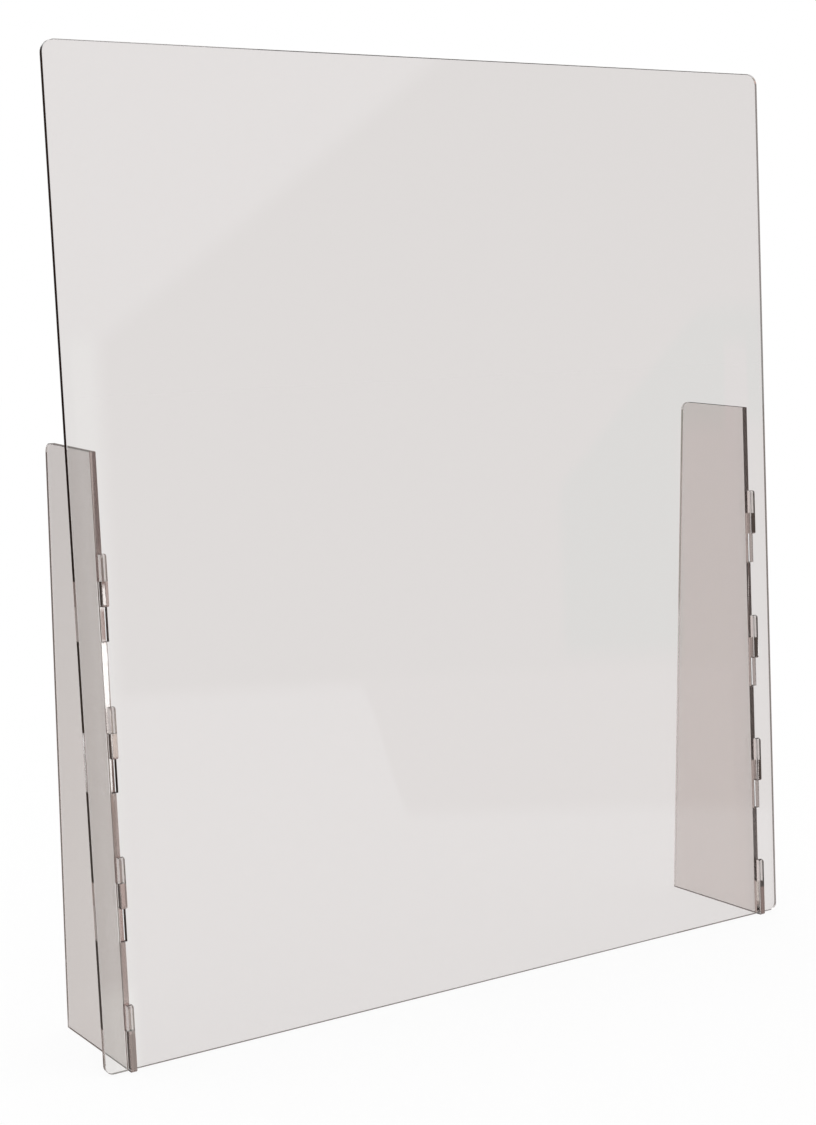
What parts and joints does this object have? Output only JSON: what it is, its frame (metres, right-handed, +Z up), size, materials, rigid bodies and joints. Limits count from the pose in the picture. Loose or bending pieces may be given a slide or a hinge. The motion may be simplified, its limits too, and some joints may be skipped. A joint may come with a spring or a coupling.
{
  "type": "countertop sneeze guard",
  "caption": "Clear countertop sneeze guard: an upright rounded-corner panel that hangs by its slots on the hooks of clear side supports.",
  "frame": {"origin": "on the counter, at the centre of the guard's footprint", "axes": "+X to the right as the customer sees it, +Y away from the customer, +Z up"},
  "size_m": [0.8064, 0.1524, 0.9149],
  "materials": {
    "panel_sheet": "clear cast acrylic sheet, glossy faces, polished edges",
    "support_sheet": "clear cast acrylic sheet, glossy faces, polished edges"
  },
  "bodies": {
    "left_stand": {"left_support": "support_sheet"},
    "panel": {"shield_panel": "panel_sheet"},
    "right_stand": {"right_support": "support_sheet"}
  },
  "joints": [
    {"name": "panel_lift", "type": "slide", "parent": "left_stand", "child": "panel", "axis": [0, 0, 1], "range_m": [0, 0.0313]},
    {"name": "right_support_stay", "type": "slide", "parent": "panel", "child": "right_stand", "axis": [0, 0, -1], "range_m": [0, 0.0313]}
  ],
  "couplings": [
    {"joint": "right_support_stay", "follows": "panel_lift", "ratio": 1}
  ]
}
